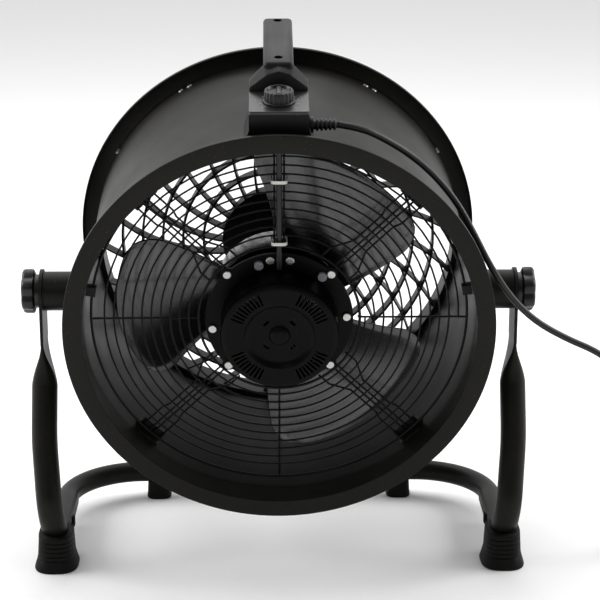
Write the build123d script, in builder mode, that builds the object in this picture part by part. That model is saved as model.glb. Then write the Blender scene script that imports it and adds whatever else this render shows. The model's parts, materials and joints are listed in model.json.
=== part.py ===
from build123d import *
from math import cos, pi, radians, sin, sqrt, tan
import os

# Axial air mover: a fan drum that tilts between the legs of a tube stand.
# Millimetres. Origin on the floor under the middle of the object. +X is to the right and +Y is
# the way the air leaves. A "station" is a distance along the drum's axis from the intake rim.

# drum
rim_radius = 225.0
drum_radius = 207.0
drum_length = 252.0
sheet = 1.6
lip = 5.0
tilt = 12.0
pivot_station = 104.0
pivot_height = 300.0
pivot_bolt_radius = 5.0

# stand
tube_radius = 14.0
tube_wall = 2.0
plate_outer_x = 258.0
plate_thickness = 3.4
plate_width = 45.0
leg_x_middle = 256.5
leg_x_foot = 246.0
rail_height = 30.0
rear_tube_radius = 12.0
rear_tube_y = 155.0
leg_end_y = 66.0
foot_front_y = -75.0
pad_x = 144.0

# intake guard and motor
guard_station = 39.0
guard_ring_radius = 198.0
guard_wire = 1.5
spiral_wire = 1.0
spiral_pitch = 9.85
spiral_turns = 10
flange_station = 36.5
flange_radius = 78.0
flange_thickness = 3.0
motor_radius = 61.5
shaft_radius = 6.0
strut_angles = (45, 135, 225, 315)
cable_station = 33.0
cable_radius = 3.0

# impeller and outlet grille
hub_radius = 70.0
hub_front_station = 70.0
hub_rear_station = 112.0
blade_count = 3
blade_tip_radius = 172.0
first_blade_angle = 62.0
grille_station = 226.0
grille_depth = 14.0
grille_ring_radii = (62.0, 85.0, 108.5, 131.5, 154.5, 177.5)
vane_count = 26

# control box and handle
box_width = 60.0
box_front_station = 20.0
box_rear_station = 76.0
panel_height = 242.0
handle_top = 268.0
handle_rear_station = 232.0
grip_width = 30.0
knob_station = 48.0
speed_knob_radius = 15.0
speed_knob_height = 12.0

# cord
cord_radius = 3.5
gland_station = 40.0
gland_height = 220.0
split_x = 237.0
coil_x, coil_y = 440.3, 24.0
coil_radius = 38.5
coil_section = 22.8
coil_height = 13.4
plug_x, plug_y = coil_x + 42.4, -3.0
cord_route = [
    (59, -130, 502),
    (82, -128, 498),
    (105, -118, 486),
    (133, -105, 467),
    (160, -97, 443),
    (185, -93, 412),
    (203, -98, 379),
    (220, -104, 346),
    (243, -98, 311),
    (270, -92, 284),
    (303, -88, 264),
    (341, -86, 247),
    (370, -84, 222),
    (386, -82, 186),
    (393, -80, 144),
    (394, -76, 98),
    (394, -67, 53),
    (394, -44, 18),
    (394, -12, 5),
    (394, 22, 3.6),
]

# ---- frames ----
tilt_cos, tilt_sin = cos(radians(tilt)), sin(radians(tilt))
pivot_y = -(drum_length / 2 - pivot_station) * tilt_cos
air_way = Vector(0, tilt_cos, tilt_sin)
drum_up = Vector(0, -tilt_sin, tilt_cos)
pivot = Vector(0, pivot_y, pivot_height)
rim_centre = pivot - air_way * pivot_station
drum_plane = Plane(origin=rim_centre, x_dir=(1, 0, 0), z_dir=air_way * -1)
profile_plane = Plane(origin=rim_centre, x_dir=(1, 0, 0), z_dir=drum_up)
drum_axis = Axis(rim_centre, air_way)
side_plane = Plane(origin=rim_centre, x_dir=air_way, z_dir=(1, 0, 0))


def station_plane(station):
    """Plane square to the drum's axis, facing the intake."""
    return drum_plane.offset(-station)


def drum_point(x, up, station):
    return rim_centre + Vector(1, 0, 0) * x + drum_up * up + air_way * station


def radial_plane(angle, station, radius):
    """Plane facing away from the drum's axis; its x runs with the air."""
    across, up = cos(radians(angle)), sin(radians(angle))
    outward = Vector(across, 0, 0) + drum_up * up
    return Plane(drum_point(radius * across, radius * up, station), x_dir=air_way, z_dir=outward)


def arc_radii(points):
    """Each corner's largest arc: 0.45 of its shorter run over the tangent of half the turn."""
    radii = []
    for before, here, after in zip(points, points[1:], points[2:]):
        run_in, run_out = Vector(*here) - Vector(*before), Vector(*after) - Vector(*here)
        half_turn = radians(run_in.get_angle(run_out)) / 2
        radii.append(0.45 * min(run_in.length, run_out.length) / tan(half_turn))
    return radii


def axis_distance(shape):
    offset = shape.center(CenterOf.BOUNDING_BOX) - rim_centre
    return sqrt(offset.X**2 + offset.dot(drum_up) ** 2)


os.makedirs("parts", exist_ok=True)


def save(piece, name):
    piece.part.label = name
    export_step(piece.part, f"parts/{name}.step")


# ---- drum ----
with BuildPart() as drum_shell:
    with BuildSketch(profile_plane):
        with Locations((drum_radius - sheet / 2, drum_length / 2)):
            Rectangle(sheet, drum_length)
    revolve(axis=drum_axis)
    with BuildSketch(Plane.YZ):
        with Locations((pivot_y, pivot_height)):
            Circle(pivot_bolt_radius + 1)
    extrude(amount=rim_radius, both=True, mode=Mode.SUBTRACT)
    with BuildSketch(radial_plane(90, cable_station, drum_radius - 10)):
        Circle(5)
    extrude(amount=20, mode=Mode.SUBTRACT)
save(drum_shell, "drum_shell")

rim_inner = drum_radius + 0.05
for rim_name, rim_station, inward in (("front", 0, 1), ("rear", drum_length, -1)):
    with BuildPart() as rim:
        with BuildSketch(profile_plane) as rim_profile:
            with Locations(((rim_radius + rim_inner) / 2, rim_station + inward * sheet / 2)):
                Rectangle(rim_radius - rim_inner, sheet)
            with Locations((rim_radius - sheet / 2, rim_station + inward * lip / 2)):
                Rectangle(sheet, lip)
            rim_corners = rim_profile.vertices().filter_by(
                lambda v: (v.center() - rim_centre).dot(Vector(1, 0, 0)) > rim_radius - 0.1
            )
            fillet(rim_corners, sheet / 2 - 0.05)
        revolve(axis=drum_axis)
    save(rim, f"rim_{rim_name}")

with BuildPart() as drum_rivets:
    for angle in (118, 121, 62, 59):
        with BuildSketch(radial_plane(angle, drum_length - 12, drum_radius)):
            Circle(3.2)
        extrude(amount=1.6)
    fillet(drum_rivets.edges().filter_by(lambda edge: axis_distance(edge) > drum_radius + 1), 0.8)
save(drum_rivets, "drum_rivets")

# ---- intake guard: a flat spiral of wire between rings, on spokes ----
with BuildPart() as intake_guard:
    for ring_radius in (guard_ring_radius, flange_radius + 7):
        with BuildSketch(profile_plane):
            with Locations((ring_radius, guard_station)):
                Circle(guard_wire)
        revolve(axis=drum_axis)
    with BuildLine(station_plane(guard_station)) as spiral_path:
        for half_turn in range(2 * spiral_turns):
            upper = half_turn % 2 == 0
            arc_radius = 186.6 - half_turn * spiral_pitch / 2
            middle = spiral_pitch / 4 * (1 if upper else -1)
            CenterArc((middle, 0), arc_radius, 0 if upper else 180, 180)
    with BuildSketch(Plane(spiral_path.line @ 0, z_dir=spiral_path.line % 0)):
        Circle(spiral_wire)
    sweep(path=spiral_path.line)
    spoke_station = guard_station + guard_wire + spiral_wire + 0.1
    spokes = [(angle, side, 86, 197) for angle, side in ((0, 0), (180, 0), (270, 0), (90, -5), (90, 5))]
    for angle in strut_angles:
        spokes += [(angle, side, 70, 200) for side in (-2.6, 2.6)]
        spokes += [(angle, side, 152, 197) for side in (-12, 12)]
        spokes += [(angle, side, 86, 128) for side in (-12, 12)]
    for angle, side, inner, outer in spokes:
        with BuildSketch(radial_plane(angle, spoke_station, inner)):
            with Locations((0, side)):
                Circle(spiral_wire + 0.1)
        extrude(amount=outer - inner)
save(intake_guard, "intake_guard")

with BuildPart() as guard_brackets:
    for angle in strut_angles:
        with BuildSketch(radial_plane(angle, guard_station + 8, drum_radius - sheet - 3.3)):
            RectangleRounded(26, 30, 4)
        extrude(amount=2.2)
        with BuildSketch(radial_plane(angle, guard_station + 5.5, drum_radius - sheet - 15)):
            Rectangle(2.4, 30)
        extrude(amount=12)
save(guard_brackets, "guard_brackets")

with BuildPart() as bracket_bolts:
    for angle in strut_angles:
        with BuildSketch(radial_plane(angle, guard_station + 14, drum_radius - sheet - 7.8)):
            RegularPolygon(5, 6)
        extrude(amount=4.4)
save(bracket_bolts, "bracket_bolts")

with BuildPart() as guard_clips:
    for angle in (10, 170):
        with BuildSketch(radial_plane(angle, guard_station, drum_radius - sheet - 11)):
            RectangleRounded(8, 12, 1.5)
        extrude(amount=10.5)
    with BuildSketch(profile_plane):
        with Locations((guard_ring_radius, guard_station)):
            Circle(guard_wire + 0.05)
    revolve(axis=drum_axis, mode=Mode.SUBTRACT)
save(guard_clips, "guard_clips")

# ---- motor ----
with BuildPart() as motor_flange:
    with BuildSketch(station_plane(flange_station)):
        Circle(flange_radius)
        with PolarLocations(flange_radius - 2.5, 4, start_angle=45):
            Circle(7.5)
        Circle(motor_radius - 3, mode=Mode.SUBTRACT)
    extrude(amount=-flange_thickness)
save(motor_flange, "motor_flange")

with BuildPart() as motor_housing:
    with BuildSketch(profile_plane):
        with Locations((motor_radius - 1.25, (flange_station + 5) / 2)):
            Rectangle(2.5, flange_station - 5)
    revolve(axis=drum_axis)
    with BuildSketch(radial_plane(90, cable_station, motor_radius - 6)):
        Circle(cable_radius + 0.1)
    extrude(amount=12, mode=Mode.SUBTRACT)
save(motor_housing, "motor_housing")

with BuildPart() as motor_end_bell:
    with BuildSketch(profile_plane) as bell_profile:
        with BuildLine():
            Polyline(
                (0, -1.2), (8.5, -1.2), (10, 1.2), (29, 1.2), (31, -1.2), (37, -3), (56, -3), (61.5, 2.5),
                (61.5, 5), (56, 5), (56, 1), (38, 0.5), (34, 4), (15, 4), (15, 16), (11.05, 16),
                (11.05, 8), (0, 8), (0, -1.2),
            )
        make_face()
    revolve(axis=drum_axis)
    for quarter in strut_angles:
        for step in range(-4, 5):
            angle = quarter + step * 5.2
            with BuildSketch(station_plane(-10)):
                with PolarLocations(48, 1, start_angle=angle):
                    SlotOverall(14, 2.4)
            extrude(amount=-20, mode=Mode.SUBTRACT)
    with BuildSketch(station_plane(-10)):
        with PolarLocations(19.5, 4, start_angle=45):
            SlotOverall(8, 3, rotation=90)
    extrude(amount=-12.5, mode=Mode.SUBTRACT)
save(motor_end_bell, "motor_end_bell")

with BuildPart() as motor_rear_shell:
    with BuildSketch(profile_plane):
        with BuildLine():
            Polyline(
                (58.4, 39.5), (58.4, 62), (54.5, 66), (6.8, 66), (6.8, 63), (11.05, 63), (11.05, 56),
                (14, 56), (14, 63.5), (50, 63.5), (56, 59), (56, 39.5), (58.4, 39.5),
            )
        make_face()
    revolve(axis=drum_axis)
save(motor_rear_shell, "motor_rear_shell")

with BuildPart() as motor_stator:
    with BuildSketch(station_plane(18)):
        Circle(55.8)
        Circle(30.5, mode=Mode.SUBTRACT)
        with PolarLocations(42, 12):
            SlotOverall(16, 5, mode=Mode.SUBTRACT)
    extrude(amount=-30)
save(motor_stator, "motor_stator")

with BuildPart() as motor_bearings:
    for bearing_station in (8.2, 56.2):
        with BuildSketch(station_plane(bearing_station)):
            Circle(11)
            Circle(shaft_radius + 0.05, mode=Mode.SUBTRACT)
        extrude(amount=-6.6)
save(motor_bearings, "motor_bearings")

with BuildPart() as flange_screws:
    screw_places = [(angle, 76.5) for angle in strut_angles] + [(3, 71), (81, 71), (97.5, 71), (188, 71)]
    for angle, radius in screw_places:
        with BuildSketch(station_plane(flange_station)):
            with PolarLocations(radius, 1, start_angle=angle):
                Circle(4.6)
        extrude(amount=3)
    fillet(flange_screws.edges().group_by(drum_axis)[0], 1)
save(flange_screws, "flange_screws")

with BuildPart() as flange_caps:
    for angle in (49, 108):
        with BuildSketch(station_plane(flange_station)):
            with PolarLocations(68.5, 1, start_angle=angle):
                Circle(4.8)
        extrude(amount=4)
save(flange_caps, "flange_caps")

with BuildPart() as motor_cable:
    with BuildSketch(radial_plane(90, cable_station, motor_radius - 2)):
        Circle(cable_radius)
    extrude(amount=drum_radius + 6 - motor_radius)
save(motor_cable, "motor_cable")

# ---- impeller, rotor and nut ----
blade_sections = (
    # radius, sweep angle, chord, pitch
    (60, -4, 84, 34),
    (100, -1, 126, 22),
    (150, 4, 164, 17),
    (blade_tip_radius, 6, 128, 16),
)
blade_station = 90.0


def blade_face(radius, sweep_angle, chord, pitch):
    """Broad blade section: a thin arched strip, square to the radius."""
    across, up = cos(radians(sweep_angle)), sin(radians(sweep_angle))
    around = drum_up * across - Vector(up, 0, 0)
    chord_way = around * cos(radians(pitch)) + air_way * sin(radians(pitch))
    outward = Vector(across, 0, 0) + drum_up * up
    place = drum_point(radius * across, radius * up, blade_station)
    with BuildSketch(Plane(place, x_dir=chord_way, z_dir=outward)) as face:
        with BuildLine():
            half, rise, thickness = chord / 2, chord * 0.07, 2.4
            ThreePointArc((-half, 0), (0, rise), (half, 0))
            Line((half, 0), (half, -thickness))
            ThreePointArc((half, -thickness), (0, rise - thickness), (-half, -thickness))
            Line((-half, -thickness), (-half, 0))
        make_face()
    return face.sketch


with BuildPart() as blade:
    loft(sections=[blade_face(*section) for section in blade_sections])
    with BuildSketch(drum_plane):
        Circle(blade_tip_radius)
    extrude(amount=-drum_length, mode=Mode.INTERSECT)

with BuildPart() as impeller:
    with BuildSketch(profile_plane):
        with BuildLine():
            Polyline(
                (shaft_radius, hub_rear_station - 16), (shaft_radius, hub_rear_station - 3),
                (20, hub_rear_station - 3),
                (24, hub_rear_station), (hub_radius - 5, hub_rear_station), (hub_radius, hub_rear_station - 5),
                (hub_radius, hub_front_station), (hub_radius - 3, hub_front_station),
                (hub_radius - 3, hub_rear_station - 6), (14, hub_rear_station - 6), (14, hub_rear_station - 16),
                (shaft_radius, hub_rear_station - 16),
            )
        make_face()
    revolve(axis=drum_axis)
    for turn in range(blade_count):
        add(blade.part.rotate(drum_axis, -first_blade_angle - turn * 360 / blade_count))
    with BuildSketch(station_plane(40)):
        Circle(hub_radius - 3)
    extrude(amount=-(hub_rear_station - 6 - 40), mode=Mode.SUBTRACT)
    with BuildSketch(profile_plane):
        with Locations((10, hub_rear_station - 9.5)):
            Rectangle(2 * 4, 13)
    revolve(axis=drum_axis)
save(impeller, "impeller")

with BuildPart() as motor_rotor:
    with BuildSketch(profile_plane):
        with BuildLine():
            Polyline(
                (0, 8.3), (shaft_radius, 8.3), (shaft_radius, 17), (30, 17), (30, 49), (shaft_radius, 49),
                (shaft_radius, 118), (0, 118), (0, 8.3),
            )
        make_face()
    revolve(axis=drum_axis)
save(motor_rotor, "motor_rotor")

with BuildPart() as impeller_nut:
    with BuildSketch(station_plane(hub_rear_station - 3)):
        RegularPolygon(10, 6)
        Circle(shaft_radius, mode=Mode.SUBTRACT)
    extrude(amount=-7)
save(impeller_nut, "impeller_nut")

# ---- outlet grille ----
vane_inner, vane_outer = grille_ring_radii[0], drum_radius - sheet - 5
vane_mid_point = Vector((vane_inner + vane_outer) / 2, 0).rotate(Axis.Z, -12)
vane_end_point = Vector(vane_outer, 0).rotate(Axis.Z, -26)
with BuildPart() as outlet_grille:
    with BuildSketch(station_plane(grille_station)):
        Circle(vane_inner)
        with BuildSketch(mode=Mode.PRIVATE) as vane:
            with BuildLine():
                near = ThreePointArc((vane_inner - 1, 0), vane_mid_point, vane_end_point)
                far = ThreePointArc((vane_inner - 1, 2.4), vane_mid_point + (0, 2.4), vane_end_point + (1.2, 2))
                Line(near @ 0, far @ 0)
                Line(near @ 1, far @ 1)
            make_face()
        for turn in range(vane_count):
            add(vane.sketch.rotate(Axis.Z, turn * 360 / vane_count))
        for ring_radius in grille_ring_radii:
            with BuildSketch(mode=Mode.PRIVATE) as ring:
                Circle(ring_radius + 1.3)
                Circle(ring_radius - 1.3, mode=Mode.SUBTRACT)
            add(ring.sketch)
    extrude(amount=-grille_depth)
    with BuildSketch(station_plane(grille_station - 4)):
        Circle(drum_radius - sheet - 0.2)
        Circle(drum_radius - sheet - 5.2, mode=Mode.SUBTRACT)
    extrude(amount=-(drum_length - grille_station + 2))
save(outlet_grille, "outlet_grille")

with BuildPart() as grille_screws:
    for angle in (30, 90, 150, 210, 270, 330):
        with BuildSketch(radial_plane(angle, drum_length - 8, drum_radius + 0.05)):
            Circle(3.6)
        extrude(amount=2)
save(grille_screws, "grille_screws")

# ---- control box ----
box_length = box_rear_station - box_front_station
box_base = drum_radius + 0.4
with BuildPart() as control_box:
    with BuildSketch(station_plane(box_front_station)):
        with BuildLine():
            half, foot = box_width / 2, box_width / 2 + 5.5
            Polyline(
                (-foot, 198), (-foot, 206), (-half, 222), (-half, panel_height - 3), (half, panel_height - 3),
                (half, 222), (foot, 206), (foot, 198), (-foot, 198),
            )
        make_face()
    extrude(amount=-box_length)
    fillet(control_box.edges().filter_by(drum_axis).group_by(Axis(rim_centre, drum_up))[-1], 1.5)
    with BuildSketch(station_plane(box_front_station + 2.5)):
        with Locations((0, 220)):
            Rectangle(box_width - 5, 60)
    extrude(amount=-(box_length - 5), mode=Mode.SUBTRACT)
    with BuildSketch(station_plane(-5)):
        Circle(box_base)
    extrude(amount=-110, mode=Mode.SUBTRACT)
    with BuildSketch(Plane(drum_point(0, gland_height, gland_station), x_dir=air_way, z_dir=(1, 0, 0))):
        Circle(cord_radius + 1)
    extrude(amount=45, mode=Mode.SUBTRACT)
    gland_hole = drum_point(box_width / 2, gland_height, gland_station)
    with BuildSketch(Plane(gland_hole, x_dir=air_way, z_dir=(1, 0, 0))):
        Circle(8.1)
    extrude(amount=10, mode=Mode.SUBTRACT)
save(control_box, "control_box")

panel_plane = Plane(drum_point(0, panel_height - 3, knob_station), x_dir=(1, 0, 0), z_dir=drum_up)
with BuildPart() as control_panel:
    with BuildSketch(panel_plane):
        with Locations((0, 0)):
            RectangleRounded(box_width, box_length, 3)
        Circle(4.2, mode=Mode.SUBTRACT)
    extrude(amount=3)
    fillet(control_panel.faces().sort_by(Axis(rim_centre, drum_up))[-1].outer_wire().edges(), 1)
save(control_panel, "control_panel")

with BuildPart() as potentiometer:
    with BuildSketch(panel_plane):
        Circle(8)
        Circle(3.05, mode=Mode.SUBTRACT)
    extrude(amount=-8)
    with BuildSketch(panel_plane):
        Circle(4)
        Circle(3.05, mode=Mode.SUBTRACT)
    extrude(amount=3)
save(potentiometer, "potentiometer")

with BuildPart() as knob_shaft:
    with BuildSketch(panel_plane.offset(-8)):
        Circle(3)
    extrude(amount=18)
save(knob_shaft, "knob_shaft")

with BuildPart() as speed_knob:
    with BuildSketch(panel_plane.offset(3.5)):
        Circle(speed_knob_radius)
        with PolarLocations(speed_knob_radius + 0.6, 20):
            Circle(1.6, mode=Mode.SUBTRACT)
    extrude(amount=speed_knob_height)
    with BuildSketch(panel_plane.offset(3.5)):
        Circle(speed_knob_radius + 1.5)
    extrude(amount=1.6)
    with BuildSketch(panel_plane.offset(3.5 + speed_knob_height)):
        Circle(11)
    extrude(amount=-2.5, mode=Mode.SUBTRACT)
    with BuildSketch(panel_plane.offset(3.5 + speed_knob_height - 2.5)):
        Rectangle(5, 21)
    extrude(amount=2.5)
    with BuildSketch(panel_plane.offset(3.5)):
        Circle(3)
    extrude(amount=6.5, mode=Mode.SUBTRACT)
save(speed_knob, "speed_knob")

with BuildPart() as controller_board:
    with BuildSketch(panel_plane.offset(-14)):
        with Locations((0, 2)):
            Rectangle(50, 44)
    extrude(amount=-1.6)
    with BuildSketch(panel_plane.offset(-14)):
        with Locations((16, -12)):
            Rectangle(12, 10)
        with Locations((-16, 12)):
            Rectangle(14, 12)
    extrude(amount=5)
save(controller_board, "controller_board")

with BuildPart() as capacitor:
    with BuildSketch(station_plane(34)):
        with Locations((-14, 215.8)):
            Circle(6.5)
    extrude(amount=-32)
save(capacitor, "capacitor")

# ---- handle: two posts and a grip ----
with BuildPart() as handle:
    with BuildSketch(side_plane):
        with BuildLine():
            Polyline(
                (box_rear_station + 0.2, 198), (box_rear_station + 0.2, handle_top - 3), (92, handle_top),
                (handle_rear_station - 8, handle_top), (handle_rear_station, handle_top - 8),
                (handle_rear_station, 198), (198, 198), (198, 234), (188, 246), (120, 246), (110, 234),
                (110, 198), (box_rear_station + 0.2, 198),
            )
        make_face()
    extrude(amount=grip_width / 2, both=True)
    fillet(handle.edges().filter_by(drum_axis).group_by(SortBy.LENGTH)[-1], 4)
    with BuildSketch(station_plane(box_rear_station + 0.2)):
        with BuildLine():
            Polyline(
                (-30, 198), (-30, 249), (-15, handle_top - 4), (15, handle_top - 4), (30, 249), (30, 198),
                (-30, 198),
            )
        make_face()
    extrude(amount=-16, taper=6)
    with BuildSketch(station_plane(-5)):
        Circle(box_base)
    extrude(amount=-260, mode=Mode.SUBTRACT)
    for hole_station in (103, 215):
        hole_plane = Plane(drum_point(0, handle_top + 1, hole_station), x_dir=(1, 0, 0), z_dir=drum_up)
        with BuildSketch(hole_plane):
            Circle(4.5)
        extrude(amount=-30, mode=Mode.SUBTRACT)
        with BuildSketch(hole_plane):
            Circle(2.6)
        extrude(amount=-80, mode=Mode.SUBTRACT)
save(handle, "handle")

with BuildPart() as handle_screws:
    for hole_station in (103, 215):
        hole_plane = Plane(drum_point(0, handle_top - 29, hole_station), x_dir=(1, 0, 0), z_dir=drum_up)
        with BuildSketch(hole_plane):
            Circle(4.3)
        extrude(amount=3)
        with BuildSketch(hole_plane):
            Circle(2.5)
        extrude(amount=-(handle_top - 29 - box_base) + 0.2)
save(handle_screws, "handle_screws")

gland_plane = Plane(drum_point(box_width / 2, gland_height, gland_station), x_dir=air_way, z_dir=drum_up)
with BuildPart() as strain_relief:
    with BuildSketch(Plane(gland_plane.origin, x_dir=(1, 0, 0), z_dir=drum_up)):
        with BuildLine():
            Polyline(
                (0, 0), (0, 8), (4, 8), (4, 6), (6, 6), (29, 4.6), (29, 0), (0, 0),
            )
        make_face()
    revolve(axis=Axis(gland_plane.origin, (1, 0, 0)))
    for rib in range(5):
        rib_place = gland_plane.origin + Vector(8 + rib * 4, 0, 0)
        with BuildSketch(Plane(rib_place, x_dir=air_way, z_dir=(1, 0, 0))):
            Circle(6.6 - rib * 0.2)
        extrude(amount=2)
save(strain_relief, "strain_relief")

# ---- motor cable ties ----
with BuildPart() as cable_ties:
    for tie_height in (91, 160.4):
        with BuildSketch(radial_plane(90, cable_station + 4, tie_height)):
            RectangleRounded(20, 17, 4)
            RectangleRounded(17.6, 14.6, 3, mode=Mode.SUBTRACT)
        extrude(amount=3.4)
save(cable_ties, "cable_ties")

# ---- pivots ----
for side, side_name in ((-1, "left"), (1, "right")):
    plate_inner_x = plate_outer_x - plate_thickness
    with BuildPart() as pivot_spacer:
        with BuildSketch(Plane.YZ.offset(side * (plate_inner_x - 0.5))):
            with Locations((pivot_y, pivot_height)):
                Circle(21.3)
        extrude(amount=-side * 60)
        with BuildSketch(station_plane(-5)):
            Circle(drum_radius)
        extrude(amount=-300, mode=Mode.SUBTRACT)
        with BuildSketch(Plane.YZ.offset(side * (plate_inner_x + 1))):
            with Locations((pivot_y, pivot_height)):
                Circle(pivot_bolt_radius + 0.05)
        extrude(amount=-side * 60, mode=Mode.SUBTRACT)
    save(pivot_spacer, f"pivot_spacer_{side_name}")

    with BuildPart() as clamp_stud:
        with BuildSketch(Plane.YZ.offset(side * (drum_radius + 3))):
            with Locations((pivot_y, pivot_height)):
                Circle(pivot_bolt_radius)
        extrude(amount=side * 60)
    save(clamp_stud, f"clamp_stud_{side_name}")

    with BuildPart() as clamp_knob:
        with BuildSketch(Plane.YZ.offset(side * (plate_outer_x + 5))):
            with Locations((pivot_y, pivot_height)):
                Circle(20)
                with PolarLocations(16.6, 6, start_angle=30):
                    Circle(8)
        extrude(amount=side * 14)
        fillet(clamp_knob.faces().sort_by(Axis.X)[-1 if side > 0 else 0].edges(), 1.5)
        with BuildSketch(Plane.YZ.offset(side * (plate_outer_x + 0.5))):
            with Locations((pivot_y, pivot_height)):
                Circle(18)
        extrude(amount=side * 5)
        with BuildSketch(Plane.YZ.offset(side * (plate_outer_x + 0.4))):
            with Locations((pivot_y, pivot_height)):
                Circle(pivot_bolt_radius)
        extrude(amount=side * (drum_radius + 63 - plate_outer_x - 0.4), mode=Mode.SUBTRACT)
    save(clamp_knob, f"clamp_knob_{side_name}")

# ---- stand ----
leg_sections = (
    # drop below the pivot, lean, forward, width, depth
    (54, 0, 0, plate_width, plate_thickness),
    (70, 8, 1.5, 43.0, 7.0),
    (86, 15, 5, 36.0, 18.0),
    (104, 20, 11, 2 * tube_radius + 0.4, 2 * tube_radius),
)
foot_bend = 42.0
for side, side_name in ((-1, "left"), (1, "right")):
    plate_mid_x = side * (plate_outer_x - plate_thickness / 2)
    leg_path_points = [
        (side * 256.3, pivot_y - 11, pivot_height - 104),
        (side * leg_x_middle, pivot_y - 32, pivot_height - 161),
        (side * leg_x_foot, pivot_y - 80, rail_height),
        (side * leg_x_foot, pivot_y + leg_end_y, rail_height),
    ]
    with BuildPart() as leg_tube:
        with BuildLine() as leg_path:
            FilletPolyline(*leg_path_points, radius=[300, foot_bend])
        with BuildSketch(Plane(leg_path.line @ 0, z_dir=leg_path.line % 0)):
            Circle(tube_radius)
        sweep(path=leg_path.line)
    with BuildPart() as leg:
        with BuildSketch(Plane.YZ.offset(plate_mid_x)):
            with Locations((pivot_y, pivot_height)):
                Circle(24)
            with Locations((pivot_y, pivot_height - 28)):
                Rectangle(plate_width, 56)
            with Locations((pivot_y, pivot_height)):
                Circle(pivot_bolt_radius + 0.4, mode=Mode.SUBTRACT)
        extrude(amount=plate_thickness / 2, both=True)
        for drop, lean, forward, width, depth in leg_sections:
            lean_cos, lean_sin = cos(radians(lean)), sin(radians(lean))
            section_plane = Plane(
                (side * 256.3, pivot_y - forward, pivot_height - drop),
                x_dir=(0, lean_cos, -lean_sin),
                z_dir=(0, -lean_sin, -lean_cos),
            )
            with BuildSketch(section_plane):
                SlotOverall(width, depth)
        loft()
        add(leg_tube.part)
        with BuildSketch(Plane(leg_path.line @ 1, z_dir=leg_path.line % 1)):
            Circle(rear_tube_radius)
        extrude(amount=-24, mode=Mode.SUBTRACT)
    save(leg, f"leg_{side_name}")

    with BuildPart() as foot:
        with BuildSketch(Plane.XY):
            with Locations((side * leg_x_foot, pivot_y + foot_front_y + 31)):
                RectangleRounded(49, 62, 14)
        with BuildSketch(Plane.XY.offset(12)):
            with Locations((side * leg_x_foot, pivot_y + foot_front_y + 31)):
                RectangleRounded(43, 58, 13)
        with BuildSketch(Plane.XY.offset(39)):
            with Locations((side * leg_x_foot, pivot_y + foot_front_y + 33)):
                RectangleRounded(37.4, 55, 13)
        loft()
        for groove in range(4):
            with Locations((side * leg_x_foot, pivot_y + foot_front_y, 14 + groove * 5.5)):
                Box(16, 9, 1.8, mode=Mode.SUBTRACT)
        with Locations((side * (leg_x_foot - 16.5), pivot_y + foot_front_y + 55, 42)):
            Box(3.5, 8, 12)
        add(leg_tube.part, mode=Mode.SUBTRACT)
    save(foot, f"foot_{side_name}")

with BuildPart() as rear_tube:
    rail_y = pivot_y + leg_end_y - 22
    with BuildLine() as rear_path:
        FilletPolyline(
            (leg_x_foot, rail_y, rail_height),
            (leg_x_foot, pivot_y + rear_tube_y, rail_height),
            (-leg_x_foot, pivot_y + rear_tube_y, rail_height),
            (-leg_x_foot, rail_y, rail_height),
            radius=85,
        )
    with BuildSketch(Plane(rear_path.line @ 0, z_dir=rear_path.line % 0)):
        Circle(rear_tube_radius)
        Circle(rear_tube_radius - tube_wall, mode=Mode.SUBTRACT)
    sweep(path=rear_path.line)
save(rear_tube, "rear_tube")

for side, side_name in ((-1, "left"), (1, "right")):
    with BuildPart() as rear_pad:
        with BuildSketch(Plane.YZ.offset(side * pad_x)):
            with Locations((pivot_y + rear_tube_y, 11)):
                Rectangle(31, 22)
            with Locations((pivot_y + rear_tube_y, rail_height)):
                Circle(rear_tube_radius, mode=Mode.SUBTRACT)
        extrude(amount=14.5, both=True)
        fillet(rear_pad.edges().filter_by(Axis.Z), 5)
    save(rear_pad, f"rear_pad_{side_name}")

with BuildPart() as rail_screws:
    for side in (-1, 1):
        with BuildSketch(Plane.XY.offset(rail_height - tube_radius)):
            with Locations((side * leg_x_foot, pivot_y + leg_end_y - 12)):
                Circle(4.6)
        extrude(amount=-3.4)
save(rail_screws, "rail_screws")

# ---- cord: one route, cut square to the tilt axis between drum and stand ----
cord_arc_radii = arc_radii(cord_route)
print("cord arc radii", [round(radius) for radius in cord_arc_radii])
with BuildPart() as cord:
    with BuildLine() as cord_path:
        FilletPolyline(*cord_route, radius=cord_arc_radii)
    with BuildSketch(Plane(cord_path.line @ 0, z_dir=cord_path.line % 0)):
        Circle(cord_radius)
    sweep(path=cord_path.line)
cord_length = sum(edge.length for edge in cord_path.edges())
cord_fill = cord.part.volume / (pi * cord_radius**2 * cord_length)
print("cord length", round(cord_length), "volume over section times length", round(cord_fill, 4))

with BuildPart() as cord_coil:
    with BuildSketch(Plane.XZ.offset(-coil_y)):
        with Locations((coil_x + coil_radius, coil_height / 2)):
            RectangleRounded(coil_section, coil_height, cord_radius)
    revolve(axis=Axis((coil_x, coil_y, 0), (0, 0, 1)))

with BuildPart() as cord_upper:
    add(cord.part)
    split(bisect_by=Plane.YZ.offset(split_x - 0.15), keep=Keep.BOTTOM)
save(cord_upper, "cord_upper")

with BuildPart() as cord_lower:
    add(cord.part)
    split(bisect_by=Plane.YZ.offset(split_x + 0.15), keep=Keep.TOP)
    add(cord_coil.part, mode=Mode.SUBTRACT)
save(cord_lower, "cord_lower")
save(cord_coil, "cord_coil")

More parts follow.
